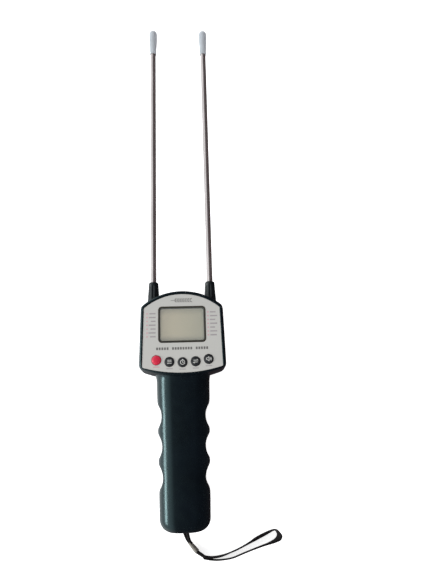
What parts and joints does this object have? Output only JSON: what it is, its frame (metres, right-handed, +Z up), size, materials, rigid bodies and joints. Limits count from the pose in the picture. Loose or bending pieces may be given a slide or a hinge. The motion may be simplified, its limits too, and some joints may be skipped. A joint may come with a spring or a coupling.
{
  "type": "grain moisture meter",
  "caption": "Hand-held grain moisture meter: display head with round keys, scalloped handle, two long parallel steel probe rods with tip caps, and a wrist strap.",
  "frame": {"origin": "middle of the meter's length and width on its back, the face it rests on; the strap isn't counted", "axes": "+X to the right as the face is read, +Y from the handle's end towards the probe tips, +Z up out of the face"},
  "size_m": [0.1135, 0.4863, 0.0371],
  "materials": {
    "shell": "glossy moulded, fine spark texture, dark green-black",
    "foam": "closed-cell foam",
    "plate": "satin silver with printed marks",
    "frame_line": "satin dark brown-black",
    "lens": "clear acrylic",
    "lcd": "grey-green LCD, switched off",
    "holder": "moulded",
    "elastomer": "conductive elastomer",
    "board": "green solder mask",
    "chip": "moulded black",
    "switch_base": "moulded black",
    "key_red": "glossy red",
    "key_black": "satin black with pale symbols",
    "plunger": "moulded grey",
    "rod_steel": "drawn and polished stainless steel",
    "boot": "fluted dark green-black",
    "cap": "soft translucent vinyl",
    "brass": "machined brass",
    "screw_steel": "zinc-plated",
    "cell": "printed jacket, plain",
    "contact": "nickel-plated spring steel",
    "wire_red": "vinyl insulation",
    "wire_blue": "vinyl insulation",
    "screw_dark": "black zinc",
    "string": "braided cord",
    "sleeve": "soft grey moulding",
    "webbing": "flat woven nylon"
  },
  "bodies": {
    "case": {"front_housing": "shell", "rear_housing": "shell", "face_plate": "plate", "display_frame": "frame_line", "display_lens": "lens", "lcd_panel": "lcd", "lcd_holder": "holder", "contact_strips": "elastomer", "main_board": "board", "controller_chip": "chip", "small_chips": "chip", "buzzer": "chip", "key_switches": "switch_base", "probe_rod_left": "rod_steel", "probe_rod_right": "rod_steel", "probe_boot_left": "boot", "probe_boot_right": "boot", "rod_clamp_left": "brass", "rod_clamp_right": "brass", "clamp_screws": "screw_steel", "battery_cells": "cell", "battery_springs": "contact", "battery_plates": "contact", "battery_leads": "wire_red", "probe_leads": "wire_blue", "case_screws": "screw_dark", "board_screws": "screw_steel", "strap_string": "string", "strap_sleeve": "sleeve", "strap_joint": "webbing", "strap_webbing": "webbing"},
    "battery_door": {"battery_door": "shell", "door_foam": "foam"},
    "power_key": {"power_key": "key_red", "power_plunger": "plunger"},
    "menu_key": {"menu_key": "key_black", "menu_plunger": "plunger"},
    "timer_key": {"timer_key": "key_black", "timer_plunger": "plunger"},
    "select_key": {"select_key": "key_black", "select_plunger": "plunger"},
    "sound_key": {"sound_key": "key_black", "sound_plunger": "plunger"},
    "cap_left": {"probe_cap_left": "cap"},
    "cap_right": {"probe_cap_right": "cap"}
  },
  "joints": [
    {"name": "battery_door_lift", "type": "slide", "parent": "case", "child": "battery_door", "axis": [0, 0, -1], "range_m": [0, 0.02]},
    {"name": "power_key_press", "type": "slide", "parent": "case", "child": "power_key", "axis": [0, 0, -1], "range_m": [0, 0.0008], "stiffness_N_per_m": 800},
    {"name": "menu_key_press", "type": "slide", "parent": "case", "child": "menu_key", "axis": [0, 0, -1], "range_m": [0, 0.0008], "stiffness_N_per_m": 800},
    {"name": "timer_key_press", "type": "slide", "parent": "case", "child": "timer_key", "axis": [0, 0, -1], "range_m": [0, 0.0008], "stiffness_N_per_m": 800},
    {"name": "select_key_press", "type": "slide", "parent": "case", "child": "select_key", "axis": [0, 0, -1], "range_m": [0, 0.0008], "stiffness_N_per_m": 800},
    {"name": "sound_key_press", "type": "slide", "parent": "case", "child": "sound_key", "axis": [0, 0, -1], "range_m": [0, 0.0008], "stiffness_N_per_m": 800},
    {"name": "cap_left_pull", "type": "slide", "parent": "case", "child": "cap_left", "axis": [0, 1, 0], "range_m": [0, 0.03]},
    {"name": "cap_right_pull", "type": "slide", "parent": "case", "child": "cap_right", "axis": [0, 1, 0], "range_m": [0, 0.03]}
  ]
}
